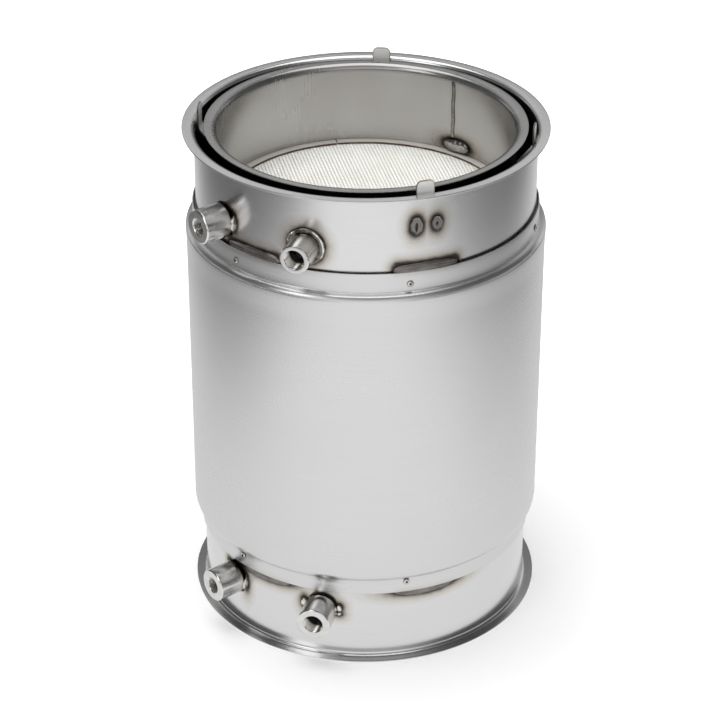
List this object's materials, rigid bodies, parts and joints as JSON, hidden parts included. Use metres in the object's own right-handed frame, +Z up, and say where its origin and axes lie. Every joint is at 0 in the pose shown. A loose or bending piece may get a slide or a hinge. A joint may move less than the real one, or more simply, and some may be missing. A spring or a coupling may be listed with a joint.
{
  "type": "exhaust filter canister",
  "caption": "Double-walled stainless exhaust filter canister: clamp flanges, insulated liners round a ceramic honeycomb, heat shield and threaded sensor bosses.",
  "frame": {"origin": "on the canister's axis, in the plane of the outlet flange's face", "axes": "+Z up along the axis from the outlet to the inlet; the sensor bosses face -Y, the front"},
  "size_m": [0.33, 0.3451, 0.484],
  "materials": {
    "shield_steel": "satin rolled sheet",
    "collar_steel": "satin rolled sheet with heat tint round the welds",
    "liner_steel": "satin",
    "clip_steel": "satin strip",
    "turned_steel": "fine turned",
    "rivet_steel": "satin",
    "dull_steel": "mill scale",
    "weld_bead": "rippled weld metal with a dark heat tint",
    "filter_ceramic": "matt extruded honeycomb",
    "mat_fibre": "matt fibre",
    "blanket_fibre": "matt fibre"
  },
  "bodies": {
    "root": {"inlet_collar": "collar_steel", "inlet_liner": "liner_steel", "inlet_standoff_ring": "dull_steel", "inlet_retaining_ring": "liner_steel", "inlet_end_plate": "dull_steel", "outlet_collar": "collar_steel", "outlet_liner": "liner_steel", "outlet_standoff_ring": "dull_steel", "outlet_retaining_ring": "liner_steel", "outlet_end_plate": "dull_steel", "heat_shield": "shield_steel", "filter_can": "dull_steel", "support_mat": "mat_fibre", "ceramic_filter": "filter_ceramic", "insulation_blanket": "blanket_fibre", "inlet_pressure_boss": "turned_steel", "inlet_pressure_boss_weld": "weld_bead", "inlet_temperature_boss": "turned_steel", "inlet_temperature_boss_weld": "weld_bead", "outlet_pressure_boss": "turned_steel", "outlet_pressure_boss_weld": "weld_bead", "outlet_temperature_boss": "turned_steel", "outlet_temperature_boss_weld": "weld_bead", "inlet_stitch_weld_1": "weld_bead", "inlet_stitch_weld_2": "weld_bead", "inlet_stitch_weld_3": "weld_bead", "inlet_stitch_weld_4": "weld_bead", "inlet_rivet_1": "rivet_steel", "inlet_rivet_2": "rivet_steel", "inlet_rivet_3": "rivet_steel", "inlet_rivet_4": "rivet_steel", "inlet_rivet_5": "rivet_steel", "inlet_rivet_6": "rivet_steel", "inlet_clip_1": "clip_steel", "inlet_clip_2": "clip_steel", "inlet_clip_3": "clip_steel", "inlet_clip_4": "clip_steel", "outlet_stitch_weld_1": "weld_bead", "outlet_stitch_weld_2": "weld_bead", "outlet_stitch_weld_3": "weld_bead", "outlet_stitch_weld_4": "weld_bead", "outlet_rivet_1": "rivet_steel", "outlet_rivet_2": "rivet_steel", "outlet_rivet_3": "rivet_steel", "outlet_rivet_4": "rivet_steel", "outlet_rivet_5": "rivet_steel", "outlet_rivet_6": "rivet_steel", "outlet_clip_1": "clip_steel", "outlet_clip_2": "clip_steel", "outlet_clip_3": "clip_steel", "outlet_clip_4": "clip_steel", "collar_plug_weld_left": "weld_bead", "collar_plug_weld_right": "weld_bead", "inlet_liner_seam_weld": "weld_bead", "inlet_liner_tack_weld": "weld_bead"}
  },
  "joints": []
}
